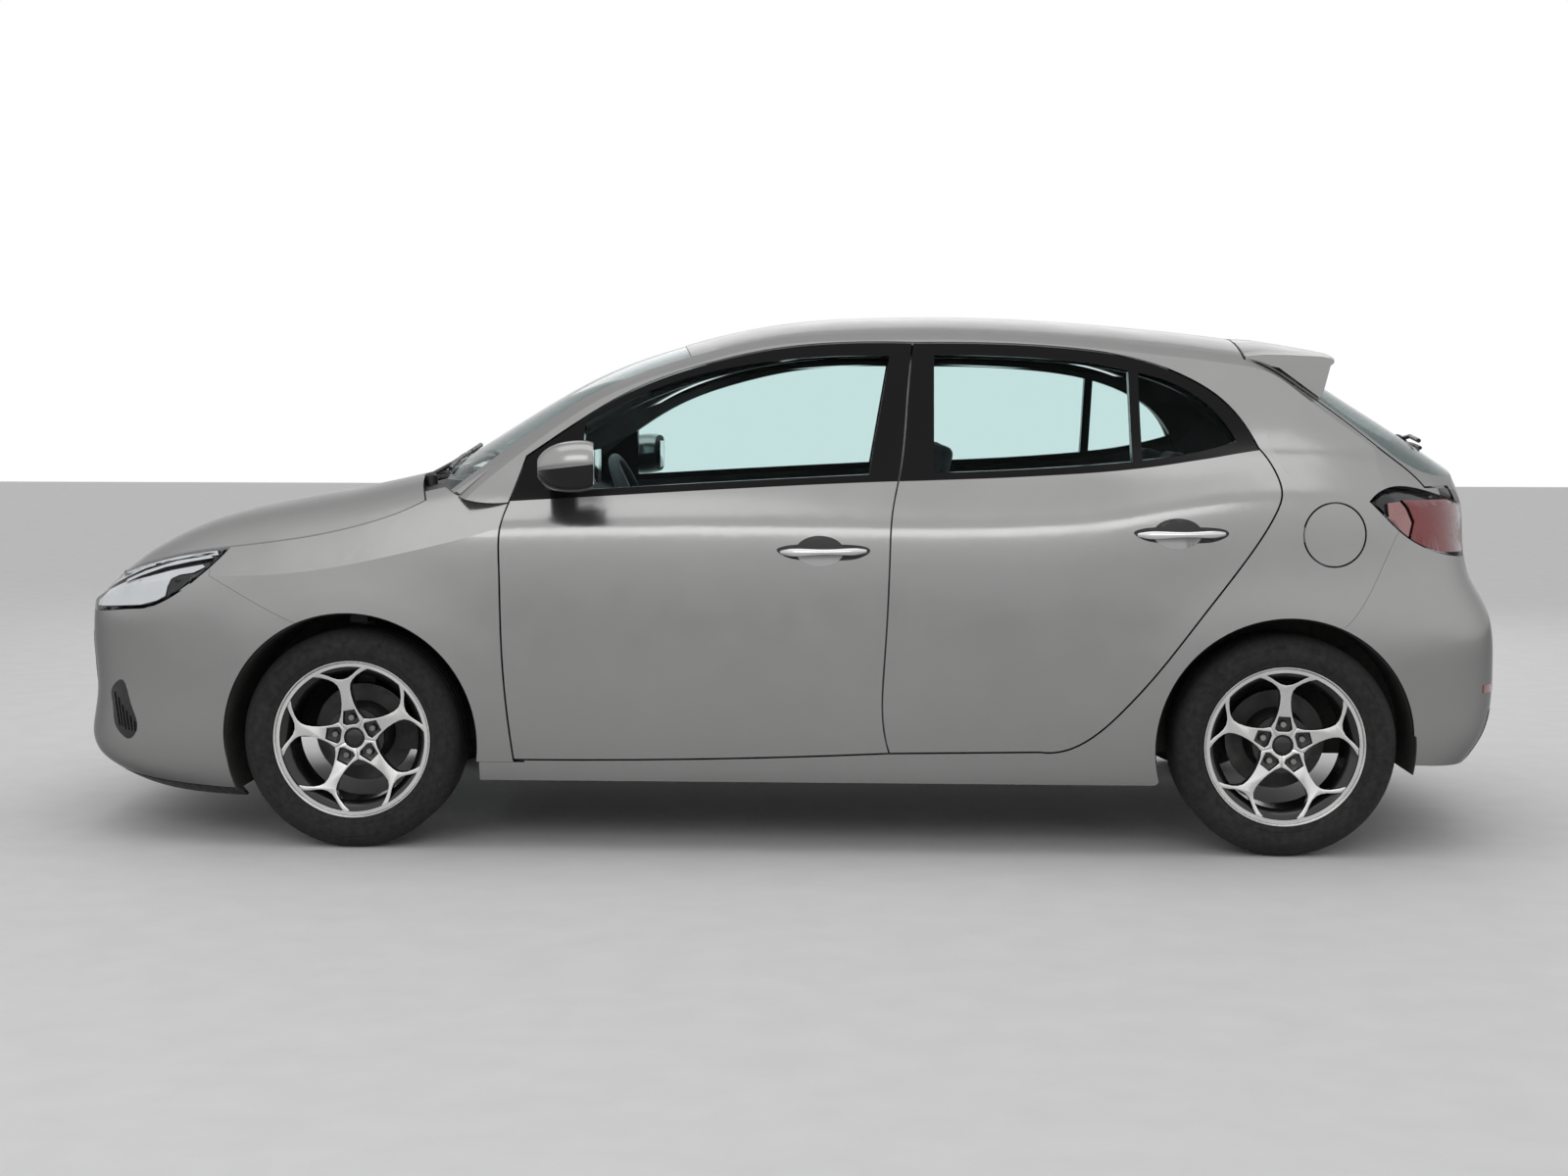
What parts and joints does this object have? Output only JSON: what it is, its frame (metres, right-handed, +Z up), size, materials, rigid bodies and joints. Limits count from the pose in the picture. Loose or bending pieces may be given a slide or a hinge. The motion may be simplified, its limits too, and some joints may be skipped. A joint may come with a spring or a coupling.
{
  "type": "five-door hatchback car",
  "caption": "Five-door hatchback car with hinged doors, bonnet, tailgate and filler flap, steered front wheels and four rolling wheels.",
  "frame": {"origin": "on the ground under the middle of the car's length and width", "axes": "+X forward, +Y to the car's left, +Z up"},
  "size_m": [4.1146, 2.0586, 1.5011],
  "materials": {
    "paint": "silver metallic clear coat",
    "underbody": "black sealed underside",
    "black_trim": "black moulded",
    "dashboard_plastic": "grained black",
    "lamp_clear": "clear cover",
    "lamp_red": "red lens",
    "window_glass": "light green tint",
    "seat_fabric": "dark woven cloth",
    "cast_metal": "cast",
    "black_steel": "black painted",
    "exhaust_steel": "dull steel",
    "wheel_alloy": "machined face over gloss black",
    "tyre_rubber": "black rubber"
  },
  "bodies": {
    "root": {"body_sides": "paint", "roof_panel": "paint", "floor_pan": "underbody", "front_fenders": "paint", "front_bumper": "paint", "rear_bumper": "paint", "grille": "black_trim", "headlamps": "lamp_clear", "tail_lamps": "lamp_red", "windscreen": "window_glass", "cowl": "black_trim", "wheel_liners": "underbody", "dashboard": "dashboard_plastic", "front_seats": "seat_fabric", "rear_seat": "seat_fabric", "engine_block": "cast_metal", "front_subframe": "black_steel", "rear_axle": "black_steel", "exhaust": "exhaust_steel", "fuel_tank": "black_steel"},
    "door_front_left_body": {"door_front_left": "paint", "window_front_left": "window_glass", "mirror_left": "paint"},
    "door_front_right_body": {"door_front_right": "paint", "window_front_right": "window_glass", "mirror_right": "paint"},
    "door_rear_left_body": {"door_rear_left": "paint", "window_rear_left": "window_glass"},
    "door_rear_right_body": {"door_rear_right": "paint", "window_rear_right": "window_glass"},
    "bonnet_body": {"bonnet": "paint"},
    "tailgate_body": {"tailgate": "paint", "tailgate_glass": "window_glass"},
    "flap_body": {"fuel_flap": "paint"},
    "steering_wheel_body": {"steering_wheel": "dashboard_plastic"},
    "knuckle_left_body": {"knuckle_left": "cast_metal"},
    "knuckle_right_body": {"knuckle_right": "cast_metal"},
    "wheel_front_left_body": {"wheel_front_left": "wheel_alloy", "tyre_front_left": "tyre_rubber"},
    "wheel_front_right_body": {"wheel_front_right": "wheel_alloy", "tyre_front_right": "tyre_rubber"},
    "wheel_rear_left_body": {"wheel_rear_left": "wheel_alloy", "tyre_rear_left": "tyre_rubber"},
    "wheel_rear_right_body": {"wheel_rear_right": "wheel_alloy", "tyre_rear_right": "tyre_rubber"}
  },
  "joints": [
    {"name": "steer_left", "type": "hinge", "parent": "root", "child": "knuckle_left_body", "pos_m": [1.186, 0.715, 0.305], "axis": [0, 0, 1], "range_deg": [-33, 33]},
    {"name": "steer_right", "type": "hinge", "parent": "root", "child": "knuckle_right_body", "pos_m": [1.186, -0.715, 0.305], "axis": [0, 0, 1], "range_deg": [-33, 33]},
    {"name": "wheel_front_left_spin", "type": "hinge", "parent": "knuckle_left_body", "child": "wheel_front_left_body", "pos_m": [1.186, 0.76, 0.305], "axis": [0, 1, 0], "continuous": true},
    {"name": "wheel_front_right_spin", "type": "hinge", "parent": "knuckle_right_body", "child": "wheel_front_right_body", "pos_m": [1.186, -0.76, 0.305], "axis": [0, 1, 0], "continuous": true},
    {"name": "wheel_rear_left_spin", "type": "hinge", "parent": "root", "child": "wheel_rear_left_body", "pos_m": [-1.384, 0.76, 0.305], "axis": [0, 1, 0], "continuous": true},
    {"name": "wheel_rear_right_spin", "type": "hinge", "parent": "root", "child": "wheel_rear_right_body", "pos_m": [-1.384, -0.76, 0.305], "axis": [0, 1, 0], "continuous": true},
    {"name": "steering_wheel_turn", "type": "hinge", "parent": "root", "child": "steering_wheel_body", "pos_m": [0.43, 0.365, 0.905], "axis": [0.9135, 0, -0.4067], "range_deg": [-490, 490]},
    {"name": "door_front_left_hinge", "type": "hinge", "parent": "root", "child": "door_front_left_body", "pos_m": [0.764, 0.8925, 0.6], "axis": [0, 0, -1], "range_deg": [0, 65]},
    {"name": "door_front_right_hinge", "type": "hinge", "parent": "root", "child": "door_front_right_body", "pos_m": [0.764, -0.8925, 0.6], "axis": [0, 0, 1], "range_deg": [0, 65]},
    {"name": "door_rear_left_hinge", "type": "hinge", "parent": "root", "child": "door_rear_left_body", "pos_m": [-0.286, 0.8925, 0.6], "axis": [0, 0, -1], "range_deg": [0, 68]},
    {"name": "door_rear_right_hinge", "type": "hinge", "parent": "root", "child": "door_rear_right_body", "pos_m": [-0.286, -0.8925, 0.6], "axis": [0, 0, 1], "range_deg": [0, 68]},
    {"name": "bonnet_hinge", "type": "hinge", "parent": "root", "child": "bonnet_body", "pos_m": [0.988, 0, 1.052], "axis": [0, -1, 0], "range_deg": [0, 55]},
    {"name": "tailgate_hinge", "type": "hinge", "parent": "root", "child": "tailgate_body", "pos_m": [-1.2995, 0, 1.442], "axis": [0, 1, 0], "range_deg": [0, 80]},
    {"name": "fuel_flap_hinge", "type": "hinge", "parent": "root", "child": "flap_body", "pos_m": [-1.4175, 0.873, 0.886], "axis": [0, 0, -1], "range_deg": [0, 80]}
  ],
  "couplings": [
    {"joint": "steer_right", "follows": "steer_left", "ratio": 1},
    {"joint": "steering_wheel_turn", "follows": "steer_left", "ratio": -14.5}
  ]
}
